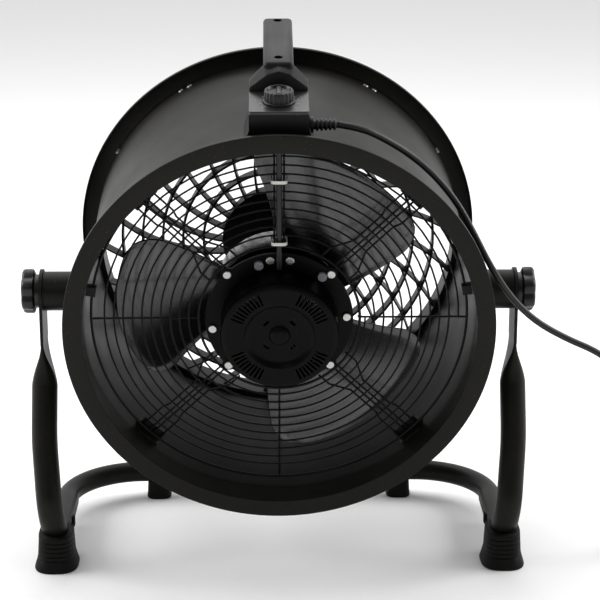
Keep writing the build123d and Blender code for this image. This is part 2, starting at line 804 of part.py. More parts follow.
with BuildPart() as power_plug:
    with BuildSketch(Plane.XZ.offset(-plug_y)):
        with Locations((plug_x, 11)):
            Circle(3.8)
    with BuildSketch(Plane.XZ.offset(-plug_y + 22)):
        with Locations((plug_x, 11)):
            Circle(7)
    loft()
    with BuildSketch(Plane.XZ.offset(-plug_y + 22)):
        with Locations((plug_x, 11)):
            RectangleRounded(24, 22, 6)
    extrude(amount=28)
    fillet(power_plug.faces().sort_by(Axis.Y)[0].edges(), 2)
    for pin_x, pin_z, pin_width, pin_height in ((-6, 14, 1.6, 6.4), (6, 14, 1.6, 6.4), (0, 6, 4.8, 4.8)):
        with BuildSketch(Plane.XZ.offset(-plug_y + 49)):
            with Locations((plug_x + pin_x, pin_z)):
                RectangleRounded(pin_width, pin_height, pin_width * 0.45)
        extrude(amount=17)
    add(cord_coil.part, mode=Mode.SUBTRACT)
save(power_plug, "power_plug")
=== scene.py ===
import json
import math

import bmesh
import bpy
from mathutils import Matrix, Vector


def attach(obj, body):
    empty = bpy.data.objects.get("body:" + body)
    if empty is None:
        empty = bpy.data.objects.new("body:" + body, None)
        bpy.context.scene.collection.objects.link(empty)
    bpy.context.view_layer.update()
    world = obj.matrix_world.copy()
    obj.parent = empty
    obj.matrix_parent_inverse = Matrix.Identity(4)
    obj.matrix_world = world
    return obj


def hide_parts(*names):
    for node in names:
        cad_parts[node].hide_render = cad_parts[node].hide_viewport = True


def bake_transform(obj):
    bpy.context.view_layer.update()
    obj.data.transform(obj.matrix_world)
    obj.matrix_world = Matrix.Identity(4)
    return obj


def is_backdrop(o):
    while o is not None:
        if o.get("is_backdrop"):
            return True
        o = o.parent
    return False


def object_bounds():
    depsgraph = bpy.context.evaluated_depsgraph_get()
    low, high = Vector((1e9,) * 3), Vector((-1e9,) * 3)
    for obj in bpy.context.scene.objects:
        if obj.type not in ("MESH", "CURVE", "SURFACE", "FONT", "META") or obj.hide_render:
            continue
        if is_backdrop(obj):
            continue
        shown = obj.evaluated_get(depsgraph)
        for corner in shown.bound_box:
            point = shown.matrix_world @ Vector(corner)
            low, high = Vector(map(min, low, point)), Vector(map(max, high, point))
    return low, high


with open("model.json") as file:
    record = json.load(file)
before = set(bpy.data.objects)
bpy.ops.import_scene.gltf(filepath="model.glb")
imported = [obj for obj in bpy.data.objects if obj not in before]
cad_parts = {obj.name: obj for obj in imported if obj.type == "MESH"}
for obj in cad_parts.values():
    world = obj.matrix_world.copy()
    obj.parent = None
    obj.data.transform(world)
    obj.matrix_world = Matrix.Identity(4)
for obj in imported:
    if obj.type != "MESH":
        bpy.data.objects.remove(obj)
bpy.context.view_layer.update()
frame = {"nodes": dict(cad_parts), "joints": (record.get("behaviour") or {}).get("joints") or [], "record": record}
nodes = frame["nodes"]
joints = {joint["name"]: joint for joint in frame["joints"]}
mm = 0.001

# the drum's own axes: x right, y down, z with the air; angles are seen from the intake
pivotStation = 104  # millimetres from the front rim to the pivot
pivotPoint = Vector(joints["drum_tilt"]["pos_m"])
airWay = Vector(joints["impeller_spin"]["axis"])
drumUp = Vector(joints["speed_dial"]["axis"])
rimCentre = pivotPoint - airWay * pivotStation * mm


def placeAt(origin, xWay, zWay):
    zWay = Vector(zWay).normalized()
    xWay = Vector(xWay).normalized()
    yWay = zWay.cross(xWay)
    place = Matrix((xWay, yWay, zWay)).transposed().to_4x4()
    place.translation = origin
    return place


def drumPoint(x, up, station):  # millimetres from the middle of the front rim
    return rimCentre + Vector((x, 0, 0)) * mm + drumUp * up * mm + airWay * station * mm


drumPlace = placeAt(rimCentre, (1, 0, 0), airWay)


def polar(radius, angle, station=0.0):  # millimetres and degrees, in the drum's own axes
    turn = math.radians(angle)
    return Vector((radius * math.cos(turn), -radius * math.sin(turn), station)) * mm


# ---- camera, floor and light ----
view = {
    "lens": 110.5, "sensor": 36, "down": 16.0, "turn": 1.04,
    "distance": 2.0008, "right": 0.023, "below": 0.011,
}
turn, down = math.radians(view["turn"]), math.radians(view["down"])
lookWay = Vector((
    math.sin(turn) * math.cos(down), math.cos(turn) * math.cos(down), -math.sin(down),
))
rightWay = Vector((math.cos(turn), -math.sin(turn), 0))
upWay = rightWay.cross(lookWay)
camera = bpy.data.objects.new("camera", bpy.data.cameras.new("camera"))
camera.data.lens = view["lens"]
camera.data.sensor_width = view["sensor"]
camera.data.clip_end = 100
eye = pivotPoint - lookWay * view["distance"] + rightWay * view["right"] - upWay * view["below"]
camera.matrix_world = placeAt(eye, rightWay, -lookWay)
bpy.context.scene.collection.objects.link(camera)
bpy.context.scene.camera = camera

lamps = {  # size, power, where it stands and what it faces, in metres
    "sideLeft": (1.6, 46, (-2.6, 0.2, 1.9), (0, 0, 0.3)),
    "sideRight": (1.6, 44, (2.6, 0.3, 1.7), (0, 0, 0.3)),
    "topRear": (2.6, 25, (-0.3, 1.2, 2.8), (0, 0.1, 0.4)),
    "frontHigh": (0.8, 3.5, (-0.9, -2.4, 2.4), (0, 0, 0.3)),
}
for lampName, (size, power, stand, facing) in lamps.items():
    lamp = bpy.data.objects.new(lampName, bpy.data.lights.new(lampName, "AREA"))
    lamp.data.shape = "SQUARE"
    lamp.data.size = size
    lamp.data.energy = power
    lamp.location = stand
    lamp.rotation_euler = (Vector(facing) - Vector(stand)).to_track_quat("-Z", "Y").to_euler()
    bpy.context.scene.collection.objects.link(lamp)

# white walls round the back and sides, and a dark room behind the camera
room = {"darkEdge": -0.9, "whiteEdge": 0.55, "dark": 0.10, "white": 1.0, "exposure": 0.25}
world = bpy.data.worlds.new("studio")
world.use_nodes = True
sky = world.node_tree
skyWay = sky.nodes.new("ShaderNodeTexCoord")
skyWay.label = "way the light comes from"
skySplit = sky.nodes.new("ShaderNodeSeparateXYZ")
skySplit.label = "front or back"
skyRange = sky.nodes.new("ShaderNodeMapRange")
skyRange.label = "dark front to white back"
skyRange.interpolation_type = "SMOOTHSTEP"
skyRange.inputs["From Min"].default_value = room["darkEdge"]
skyRange.inputs["From Max"].default_value = room["whiteEdge"]
skyRange.inputs["To Min"].default_value = room["dark"]
skyRange.inputs["To Max"].default_value = room["white"]
for column, node in enumerate((skyWay, skySplit, skyRange)):
    node.location = (column * 220 - 700, 300)
sky.links.new(skyWay.outputs["Generated"], skySplit.inputs["Vector"])
sky.links.new(skySplit.outputs["Y"], skyRange.inputs["Value"])
sky.links.new(skyRange.outputs["Result"], sky.nodes["Background"].inputs["Strength"])
sky.nodes["Background"].inputs["Color"].default_value = (1, 1, 1, 1)
bpy.context.scene.world = world
bpy.context.scene.view_settings.view_transform = "Standard"
bpy.context.scene.view_settings.exposure = room["exposure"]
print("camera and light are in place")


# ---- materials ----
def lineUp(columns):  # sets each column of nodes down the editor
    for column, names in enumerate(columns):
        for row, node in enumerate(names):
            node.location = (column * 240 - 1200, 300 - row * 260)


def coatedMaterial(
    name, base, pale, roughness, grainSize, grainDepth, wear=0.0, coat=0.0, specular=0.5,
):
    material = bpy.data.materials.new(name)
    material.use_nodes = True
    tree = material.node_tree
    tree.nodes.clear()
    output = tree.nodes.new("ShaderNodeOutputMaterial")
    output.label = "finished coat"
    shader = tree.nodes.new("ShaderNodeBsdfPrincipled")
    shader.label = "coat"
    shader.inputs["Coat Weight"].default_value = coat
    shader.inputs["Coat Roughness"].default_value = 0.22
    shader.inputs["Specular IOR Level"].default_value = specular
    where = tree.nodes.new("ShaderNodeTexCoord")
    where.label = "place on the object"

    grainFrame = tree.nodes.new("NodeFrame")
    grainFrame.label = "grain of the surface"
    grain = tree.nodes.new("ShaderNodeTexNoise")
    grain.label = "fine grain"
    grain.inputs["Scale"].default_value = 1 / (grainSize * mm)
    grain.inputs["Detail"].default_value = 3
    swell = tree.nodes.new("ShaderNodeTexNoise")
    swell.label = "slow swell of the wall"
    swell.inputs["Scale"].default_value = 0.12 / (grainSize * mm)
    grainBump = tree.nodes.new("ShaderNodeBump")
    grainBump.label = "grain height"
    grainBump.inputs["Strength"].default_value = 0.6
    grainBump.inputs["Distance"].default_value = grainDepth * mm
    swellBump = tree.nodes.new("ShaderNodeBump")
    swellBump.label = "swell height"
    swellBump.inputs["Strength"].default_value = 0.35
    swellBump.inputs["Distance"].default_value = grainDepth * 2 * mm

    toneFrame = tree.nodes.new("NodeFrame")
    toneFrame.label = "handling and dust"
    smear = tree.nodes.new("ShaderNodeTexNoise")
    smear.label = "smears"
    smear.inputs["Scale"].default_value = 14
    smear.inputs["Detail"].default_value = 5
    speck = tree.nodes.new("ShaderNodeTexNoise")
    speck.label = "dust specks"
    speck.inputs["Scale"].default_value = 420
    speck.inputs["Detail"].default_value = 1
    speckStep = tree.nodes.new("ShaderNodeValToRGB")
    speckStep.label = "only the few"
    speckStep.color_ramp.elements[0].position = 0.70
    speckStep.color_ramp.elements[1].position = 0.80
    smearTone = tree.nodes.new("ShaderNodeMix")
    smearTone.label = "smeared colour"
    smearTone.data_type = "RGBA"
    smearTone.inputs["A"].default_value = (*base, 1)
    smearTone.inputs["B"].default_value = (*pale, 1)
    dustTone = tree.nodes.new("ShaderNodeMix")
    dustTone.label = "dusted colour"
    dustTone.data_type = "RGBA"
    dustColour = [min(1, value * 2.2 + 0.01) for value in pale]
    dustTone.inputs["B"].default_value = (*dustColour, 1)
    sheenRange = tree.nodes.new("ShaderNodeMapRange")
    sheenRange.label = "gloss changes"
    sheenRange.inputs["From Min"].default_value = 0.3
    sheenRange.inputs["From Max"].default_value = 0.7
    sheenRange.inputs["To Min"].default_value = roughness * 0.86
    sheenRange.inputs["To Max"].default_value = min(1.0, roughness * 1.16)

    for node in (grain, swell, grainBump, swellBump):
        node.parent = grainFrame
    for node in (smear, speck, speckStep, smearTone, dustTone, sheenRange):
        node.parent = toneFrame
    lineUp([
        [where], [smear, speck, grain, swell], [speckStep, sheenRange, swellBump],
        [smearTone, grainBump], [dustTone], [shader], [output],
    ])
    for texture in (grain, swell, smear, speck):
        tree.links.new(where.outputs["Object"], texture.inputs["Vector"])
    tree.links.new(smear.outputs["Fac"], smearTone.inputs["Factor"])
    tree.links.new(smearTone.outputs["Result"], dustTone.inputs["A"])
    tree.links.new(speck.outputs["Fac"], speckStep.inputs["Fac"])
    tree.links.new(speckStep.outputs["Color"], dustTone.inputs["Factor"])
    tree.links.new(smear.outputs["Fac"], sheenRange.inputs["Value"])
    tree.links.new(sheenRange.outputs["Result"], shader.inputs["Roughness"])
    tree.links.new(swell.outputs["Fac"], swellBump.inputs["Height"])
    tree.links.new(swellBump.outputs["Normal"], grainBump.inputs["Normal"])
    tree.links.new(grain.outputs["Fac"], grainBump.inputs["Height"])
    tree.links.new(grainBump.outputs["Normal"], shader.inputs["Normal"])
    tree.links.new(shader.outputs["BSDF"], output.inputs["Surface"])
    colour = dustTone.outputs["Result"]

    if wear:  # edges rubbed paler, found where a rounded normal leaves the true one
        wearFrame = tree.nodes.new("NodeFrame")
        wearFrame.label = "rubbed edges"
        rounded = tree.nodes.new("ShaderNodeBevel")
        rounded.label = "rounded edges"
        rounded.samples = 4
        rounded.inputs["Radius"].default_value = 0.9 * mm
        trueNormal = tree.nodes.new("ShaderNodeNewGeometry")
        trueNormal.label = "true surface"
        apart = tree.nodes.new("ShaderNodeVectorMath")
        apart.label = "how far apart"
        apart.operation = "DOT_PRODUCT"
        edgeRange = tree.nodes.new("ShaderNodeMapRange")
        edgeRange.label = "width of the rub"
        edgeRange.inputs["From Min"].default_value = 0.995
        edgeRange.inputs["From Max"].default_value = 0.80
        edgeRange.inputs["To Max"].default_value = wear
        patch = tree.nodes.new("ShaderNodeMath")
        patch.label = "rubbed in patches"
        patch.operation = "MULTIPLY"
        wornTone = tree.nodes.new("ShaderNodeMix")
        wornTone.label = "worn colour"
        wornTone.data_type = "RGBA"
        wornColour = [min(1, value * 3 + 0.05) for value in pale]
        wornTone.inputs["B"].default_value = (*wornColour, 1)
        for row, node in enumerate((rounded, trueNormal, apart, edgeRange, patch, wornTone)):
            node.parent = wearFrame
            node.location = (-960 + row * 200, -900)
        tree.links.new(rounded.outputs["Normal"], apart.inputs[0])
        tree.links.new(trueNormal.outputs["Normal"], apart.inputs[1])
        tree.links.new(apart.outputs["Value"], edgeRange.inputs["Value"])
        tree.links.new(edgeRange.outputs["Result"], patch.inputs[0])
        tree.links.new(smear.outputs["Fac"], patch.inputs[1])
        tree.links.new(patch.outputs["Value"], wornTone.inputs["Factor"])
        tree.links.new(colour, wornTone.inputs["A"])
        colour = wornTone.outputs["Result"]
    tree.links.new(colour, shader.inputs["Base Color"])
    return material


def metalMaterial(name, base, roughness, brushSize, tarnish):
    material = bpy.data.materials.new(name)
    material.use_nodes = True
    tree = material.node_tree
    tree.nodes.clear()
    output = tree.nodes.new("ShaderNodeOutputMaterial")
    output.label = "finished metal"
    shader = tree.nodes.new("ShaderNodeBsdfPrincipled")
    shader.label = "metal"
    shader.inputs["Metallic"].default_value = 1.0
    where = tree.nodes.new("ShaderNodeTexCoord")
    where.label = "place on the object"
    stretch = tree.nodes.new("ShaderNodeMapping")
    stretch.label = "lengthened marks"
    stretch.inputs["Scale"].default_value = (1, 6, 1)
    marks = tree.nodes.new("ShaderNodeTexNoise")
    marks.label = "machining marks"
    marks.inputs["Scale"].default_value = 1 / (brushSize * mm)
    stain = tree.nodes.new("ShaderNodeTexNoise")
    stain.label = "tarnish"
    stain.inputs["Scale"].default_value = 160
    stain.inputs["Detail"].default_value = 4
    tone = tree.nodes.new("ShaderNodeMix")
    tone.label = "tarnished colour"
    tone.data_type = "RGBA"
    tone.inputs["A"].default_value = (*base, 1)
    tone.inputs["B"].default_value = (*[value * (1 - tarnish) for value in base], 1)
    gloss = tree.nodes.new("ShaderNodeMapRange")
    gloss.label = "gloss changes"
    gloss.inputs["To Min"].default_value = roughness * 0.8
    gloss.inputs["To Max"].default_value = roughness * 1.3
    bump = tree.nodes.new("ShaderNodeBump")
    bump.label = "height of the marks"
    bump.inputs["Strength"].default_value = 0.4
    bump.inputs["Distance"].default_value = 0.02 * mm
    lineUp([[where], [stretch, stain], [marks, tone], [gloss, bump], [shader], [output]])
    tree.links.new(where.outputs["Object"], stretch.inputs["Vector"])
    tree.links.new(stretch.outputs["Vector"], marks.inputs["Vector"])
    tree.links.new(where.outputs["Object"], stain.inputs["Vector"])
    tree.links.new(stain.outputs["Fac"], tone.inputs["Factor"])
    tree.links.new(marks.outputs["Fac"], gloss.inputs["Value"])
    tree.links.new(marks.outputs["Fac"], bump.inputs["Height"])
    tree.links.new(tone.outputs["Result"], shader.inputs["Base Color"])
    tree.links.new(gloss.outputs["Result"], shader.inputs["Roughness"])
    tree.links.new(bump.outputs["Normal"], shader.inputs["Normal"])
    tree.links.new(shader.outputs["BSDF"], output.inputs["Surface"])
    return material


# name, base colour, paler colour, roughness, grain size and depth in mm, wear, clear coat, specular
coats = {
    "powder_coat": (
        "powderCoat", (0.0070, 0.0067, 0.0058), (0.0112, 0.0107, 0.0092),
        0.40, 0.9, 0.035, 0.30, 0, 0.12,
    ),
    "guard_wire": (
        "guardWire", (0.003, 0.003, 0.003), (0.006, 0.006, 0.006),
        0.34, 0.7, 0.02, 0, 0, 0.15,
    ),
    "motor_paint": (
        "motorPaint", (0.0012, 0.0012, 0.0011), (0.0024, 0.0024, 0.0023),
        0.36, 0.6, 0.02, 0.25, 0, 0.07,
    ),
    "blade": (
        "bladePaint", (0.003, 0.003, 0.003), (0.006, 0.006, 0.006),
        0.20, 1.6, 0.008, 0, 1.0, 0.6,
    ),
    "black_plastic": (
        "blackPlastic", (0.0055, 0.0055, 0.0055), (0.010, 0.010, 0.010),
        0.42, 0.35, 0.03, 0.25, 0, 0.16,
    ),
    "panel": (
        "panelPlastic", (0.006, 0.006, 0.0065), (0.011, 0.011, 0.0115),
        0.30, 0.3, 0.02, 0.2, 0, 0.5,
    ),
    "knob": (
        "knobPlastic", (0.005, 0.005, 0.005), (0.010, 0.010, 0.010),
        0.34, 0.4, 0.03, 0.35, 0, 0.35,
    ),
    "rubber": (
        "rubber", (0.0026, 0.0025, 0.0022), (0.0060, 0.0058, 0.0052),
        0.62, 0.5, 0.05, 0.3, 0, 0.12,
    ),
    "cord": (
        "cordJacket", (0.004, 0.004, 0.004), (0.008, 0.008, 0.008),
        0.40, 0.5, 0.02, 0, 0, 0.35,
    ),
    "tie": (
        "whiteNylon", (0.62, 0.61, 0.57), (0.72, 0.71, 0.68),
        0.42, 0.6, 0.02,
    ),
    "cap": (
        "greyCap", (0.16, 0.165, 0.17), (0.22, 0.225, 0.23),
        0.45, 0.4, 0.02,
    ),
    "board": (
        "boardLacquer", (0.02, 0.10, 0.045), (0.03, 0.15, 0.07),
        0.35, 0.8, 0.02,
    ),
}
finishes = {slotName: coatedMaterial(*settings) for slotName, settings in coats.items()}
finishes["screw"] = metalMaterial("zincScrew", (0.58, 0.58, 0.56), 0.28, 0.25, 0.35)
finishes["steel"] = metalMaterial("turnedSteel", (0.50, 0.50, 0.49), 0.30, 0.2, 0.30)
floorFinish = coatedMaterial(
    "floorSheet", (0.88, 0.88, 0.88), (0.90, 0.90, 0.90), 0.8, 3.0, 0.02, 0, 0, 0.2,
)
print("materials are mixed")

floorHalf, floorDrop = 16, 0.0004  # metres; the drop keeps the floor clear of the soles
floorMesh = bpy.data.meshes.new("floor")
floorMesh.from_pydata(
    [(x * floorHalf, y * floorHalf, -floorDrop) for x, y in ((-1, -1), (1, -1), (1, 1), (-1, 1))],
    [], [(0, 1, 2, 3)],
)
floorMesh.materials.append(floorFinish)
floor = bpy.data.objects.new("floor", floorMesh)
bpy.context.scene.collection.objects.link(floor)
floor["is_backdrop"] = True


# ---- making and placing ----
def newObject(name, data):
    piece = bpy.data.objects.new(name, data)
    bpy.context.scene.collection.objects.link(piece)
    return piece


def meshObject(name, points, faces=(), edges=()):
    mesh = bpy.data.meshes.new(name)
    mesh.from_pydata([Vector(point) for point in points], list(edges), list(faces))
    return newObject(name, mesh)


def settledMesh(source, place=Matrix.Identity(4)):  # applies the stack, then the place
    bpy.context.view_layer.update()
    shaped = source.evaluated_get(bpy.context.evaluated_depsgraph_get())
    mesh = bpy.data.meshes.new_from_object(shaped)
    mesh.transform(place)
    work = bmesh.new()
    work.from_mesh(mesh)
    bmesh.ops.remove_doubles(work, verts=work.verts, dist=0.004 * mm)
    bmesh.ops.recalc_face_normals(work, faces=work.faces)
    work.to_mesh(mesh)
    work.free()
    bpy.data.objects.remove(source)
    return mesh


def addPiece(name, meshes, body, slotName, replaced=(), sharp=38):
    work = bmesh.new()
    for mesh in meshes:
        work.from_mesh(mesh)
    joined = bpy.data.meshes.new(name)
    work.to_mesh(joined)
    work.free()
    joined.materials.clear()
    joined.materials.append(finishes[slotName])
    for polygon in joined.polygons:
        polygon.material_index = 0
    joined.shade_smooth()
    joined.set_sharp_from_angle(angle=math.radians(sharp))
    piece = newObject(name, joined)
    if body:
        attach(piece, body)
    if replaced:
        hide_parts(*replaced)
    print("made", name, len(joined.polygons), "faces")
    return piece


boxFaces = [(3, 2, 1, 0), (4, 5, 6, 7), (0, 1, 5, 4), (1, 2, 6, 5), (2, 3, 7, 6), (3, 0, 4, 7)]


def turned(name, profile, steps=96, closed=False):  # (radius, height) in mm, from top to bottom
    points = [(radius * mm, 0, height * mm) for radius, height in profile]
    edges = [(index, index + 1) for index in range(len(points) - 1)]
    if closed:
        edges.append((len(points) - 1, 0))
    piece = meshObject(name, points, (), edges)
    screw = piece.modifiers.new("turning", "SCREW")
    screw.axis = "Z"
    screw.steps = steps
    screw.render_steps = steps
    screw.use_merge_vertices = True
    screw.merge_threshold = 0.005 * mm
    screw.use_smooth_shade = True
    return piece


def rounded(piece, width, segments=2, angle=40):
    bevel = piece.modifiers.new("rounded edges", "BEVEL")
    bevel.width = width * mm
    bevel.segments = segments
    bevel.limit_method = "ANGLE"
    bevel.angle_limit = math.radians(angle)
    return piece


def wireCurve(name, runs, radius):  # runs of points, each open or closed
    curve = bpy.data.curves.new(name, "CURVE")
    curve.dimensions = "3D"
    curve.bevel_depth = radius * mm
    curve.bevel_resolution = 2
    curve.use_fill_caps = True
    for points, closed in runs:
        spline = curve.splines.new("POLY")
        spline.points.add(len(points) - 1)
        for spot, point in zip(spline.points, points):
            spot.co = (*point, 1)
        spline.use_cyclic_u = closed
    return newObject(name, curve)


def lofted(name, rings):  # closed rings of the same count, capped at both ends
    count = len(rings[0])
    points = [point for ring in rings for point in ring]
    faces = []
    for level in range(len(rings) - 1):
        for step in range(count):
            here, after = level * count + step, level * count + (step + 1) % count
            faces.append((here, after, after + count, here + count))
    faces.append(tuple(range(count - 1, -1, -1)))
    faces.append(tuple(range((len(rings) - 1) * count, len(rings) * count)))
    return meshObject(name, points, faces)


def alongFrames(points, firstAcross):  # frames that turn no more than the path does
    frames = []
    across = Vector(firstAcross)
    for index, point in enumerate(points):
        before, after = points[max(0, index - 1)], points[min(len(points) - 1, index + 1)]
        ahead = (Vector(after) - Vector(before)).normalized()
        across = (across - ahead * across.dot(ahead)).normalized()
        frames.append((Vector(point), across, ahead.cross(across)))
    return frames


def tube(name, line, radius, sides, firstAcross):
    rings = []
    for point, across, over in alongFrames(line, firstAcross):
        ring = []
        for step in range(sides):
            angle = step * 2 * math.pi / sides
            ring.append(point + (across * math.cos(angle) + over * math.sin(angle)) * radius)
        rings.append(ring)
    return lofted(name, rings)


# ---- cord ----
cordShape = {"radius": 3.5, "sides": 14, "turns": 4.5, "turnPoints": 16, "stepShare": 0.2}
cordRoute = [
    (0.059, -0.130, 0.502),
    (0.082, -0.128, 0.498),
    (0.105, -0.118, 0.486),
    (0.133, -0.105, 0.467),
    (0.160, -0.097, 0.443),
    (0.185, -0.093, 0.412),
    (0.203, -0.098, 0.379),
    (0.220, -0.104, 0.346),
    (0.243, -0.098, 0.311),
    (0.270, -0.092, 0.284),
    (0.303, -0.088, 0.264),
    (0.341, -0.086, 0.247),
    (0.370, -0.084, 0.222),
    (0.386, -0.082, 0.186),
    (0.393, -0.080, 0.144),
    (0.394, -0.076, 0.098),
    (0.394, -0.067, 0.053),
    (0.394, -0.044, 0.018),
    (0.394, -0.012, 0.005),
]
coilCentre = Vector((0.4403, 0.024, 0))
coilTurns = [  # radius and height of each turn, as it is wound
    (46.3, 3.6), (38.5, 3.6), (30.7, 3.6), (34.6, 9.8), (42.4, 9.8),
]

coilPoints = []
for step in range(1, int(cordShape["turns"] * cordShape["turnPoints"]) + 1):
    turnsDone = step / cordShape["turnPoints"]
    whole = int(turnsDone)
    # the last share of each turn steps over to the next
    shift = max(0.0, (turnsDone - whole - 1 + cordShape["stepShare"]) / cordShape["stepShare"])
    here, after = coilTurns[whole], coilTurns[min(whole + 1, len(coilTurns) - 1)]
    reach = (here[0] + (after[0] - here[0]) * shift) / math.cos(math.pi / cordShape["turnPoints"])
    height = here[1] + (after[1] - here[1]) * shift
    angle = math.pi - 2 * math.pi * turnsDone
    around = Vector((reach * math.cos(angle), reach * math.sin(angle), height))
    coilPoints.append(coilCentre + around * mm)
plugEnd = [coilCentre + Vector(step) * mm for step in ((42.4, -12, 10.4), (42.4, -27.5, 11))]
routeCurve = bpy.data.curves.new("cordLine", "CURVE")
routeCurve.dimensions = "3D"
routeCurve.resolution_u = 8
routeSpline = routeCurve.splines.new("NURBS")
routePoints = [Vector(point) for point in cordRoute] + coilPoints + plugEnd
routeSpline.points.add(len(routePoints) - 1)
for spot, point in zip(routeSpline.points, routePoints):
    spot.co = (*point, 1)
routeSpline.order_u = 3
routeSpline.use_endpoint_u = True
routeObject = newObject("cordLine", routeCurve)
bpy.context.view_layer.update()
routeShaped = routeObject.evaluated_get(bpy.context.evaluated_depsgraph_get())
routeMesh = bpy.data.meshes.new_from_object(routeShaped)
cordLine = [vertex.co.copy() for vertex in routeMesh.vertices]
bpy.data.objects.remove(routeObject)

cordTube = tube("cordTube", cordLine, cordShape["radius"] * mm, cordShape["sides"], (0, 0, 1))
cord = addPiece(
    "mainsCord", [settledMesh(cordTube)], None, "cord", ("cord_upper", "cord_lower", "cord_coil"), 60,
)
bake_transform(cord)

# ---- strain relief ----
gland = {
    "collar": 8.2, "collarLong": 4.5, "start": 6.0, "end": 4.5, "long": 29, "bore": 3.6,
    "ribs": 5, "ribHigh": 0.9, "grooveDeep": 0.9,
}
glandPlace = placeAt(drumPoint(30, 220, 40), airWay, (1, 0, 0))
profile = [(0, gland["long"]), (gland["bore"], gland["long"])]
ribPitch = (gland["long"] - gland["collarLong"] - 3) / gland["ribs"]
for rib in range(gland["ribs"]):
    back = gland["long"] - 2 - rib * ribPitch
    share = (gland["long"] - back) / gland["long"]
    low = gland["end"] + (gland["start"] - gland["end"]) * share - gland["grooveDeep"]
    high = low + gland["grooveDeep"] + gland["ribHigh"]
    profile += [
        (low, back), (high, back - 0.5),
        (high, back - 0.62 * ribPitch), (low + 0.1, back - 0.66 * ribPitch),
    ]
profile += [
    (gland["start"] - gland["grooveDeep"], gland["collarLong"]),
    (gland["collar"], gland["collarLong"]), (gland["collar"], 0), (0, 0),
]
reliefBody = rounded(turned("reliefBody", profile, 32), 0.35)
relief = addPiece(
    "strainRelief", [settledMesh(reliefBody, glandPlace)], "drum", "cord", ("strain_relief",),
)

# ---- drum: a turned wall with rolled rims ----
drumShape = {"rim": 225, "wall": 207, "sheet": 1.6, "lip": 5, "long": 252, "roll": 0.75, "steps": 192}
rim, wall, sheet, lip, long = (drumShape[key] for key in ("rim", "wall", "sheet", "lip", "long"))
drumProfile = [
    (wall - sheet, 0), (wall - sheet, long), (rim, long), (rim, long - lip),
    (rim - sheet, long - lip), (rim - sheet, long - sheet), (wall, long - sheet), (wall, sheet),
    (rim - sheet, sheet), (rim - sheet, lip), (rim, lip), (rim, 0),
]
drumSource = turned("drumSource", drumProfile, drumShape["steps"], closed=True)
rounded(drumSource, drumShape["roll"], 3)
addPiece(
    "drumWall", [settledMesh(drumSource, drumPlace)], "drum", "powder_coat",
    ("drum_shell", "rim_front", "rim_rear"),
)

# ---- intake guard ----
guard = {
    "station": 39, "ring": 198, "inner": 85, "ringWire": 1.5, "wire": 1.05, "spokeWire": 1.15,
    "first": 186.6, "pitch": 9.85, "turns": 10, "spiralStep": 5,
    "spokesBehind": 2.6, "pairApart": 5, "strutApart": 2.6,
}
# each wire's path from the hub out: radius, and how far it leaves the spokes' plane
spokePath = ((83, 2.2), (88, 0.4), (110, 0), (190, 0), (199.5, -0.6))
strutPath = ((70, 0), (200, 0))
# each brace's path from the ring in: share of its side step, radius, and how far it leaves the plane
bracePath = ((1, 197, 0), (1, 166, 0), (0.75, 158, 0.4), (0.75, 118, 0.4))
braceSides = ((-12, -20), (12, 20))  # its side step at the ring and at the hub
ringRuns = [
    ([polar(radius, angle, guard["station"]) for angle in range(0, 360, 3)], True)
    for radius in (guard["ring"], guard["inner"])
]
spiralLine = []
for step in range(guard["turns"] * 360 // guard["spiralStep"] + 1):
    half, part = divmod(step * guard["spiralStep"], 180)
    side = 1 if half % 2 == 0 else -1
    radius = guard["first"] - half * guard["pitch"] / 2
    offset = Vector((side * guard["pitch"] / 4 * mm, 0, 0))
    spiralLine.append(offset + polar(radius, part + (0 if side > 0 else 180), guard["station"]))
spokeStation = guard["station"] + guard["spokesBehind"]
pairApart, strutApart = guard["pairApart"], guard["strutApart"]
straightWires = [(angle, 0, spokePath) for angle in (0, 180, 270)]
straightWires += [(90, side, spokePath) for side in (-pairApart, pairApart)]
straightWires += [
    (angle, side, strutPath) for angle in (45, 135, 225, 315) for side in (-strutApart, strutApart)
]
spokeRuns = []
for angle, side, path in straightWires:
    aside = polar(side, angle + 90)
    spokeRuns.append(([aside + polar(radius, angle, spokeStation + out) for radius, out in path], False))
for angle in (45, 135, 225, 315):
    for side, away in braceSides:
        run = [
            polar(side * part, angle + 90) + polar(radius, angle, spokeStation + out)
            for part, radius, out in bracePath
        ]
        run += [
            polar(away, angle + 90) + polar(radius, angle, spokeStation + out)
            for radius, out in ((96, 0.2), (80, 0))
        ]
        spokeRuns.append((run, False))
guardMeshes = [
    settledMesh(wireCurve("rings", ringRuns, guard["ringWire"]), drumPlace),
    settledMesh(wireCurve("spiral", [(spiralLine, False)], guard["wire"]), drumPlace),
    settledMesh(wireCurve("spokes", spokeRuns, guard["spokeWire"]), drumPlace),
]
addPiece("intakeGuard", guardMeshes, "drum", "guard_wire", ("intake_guard",), 50)

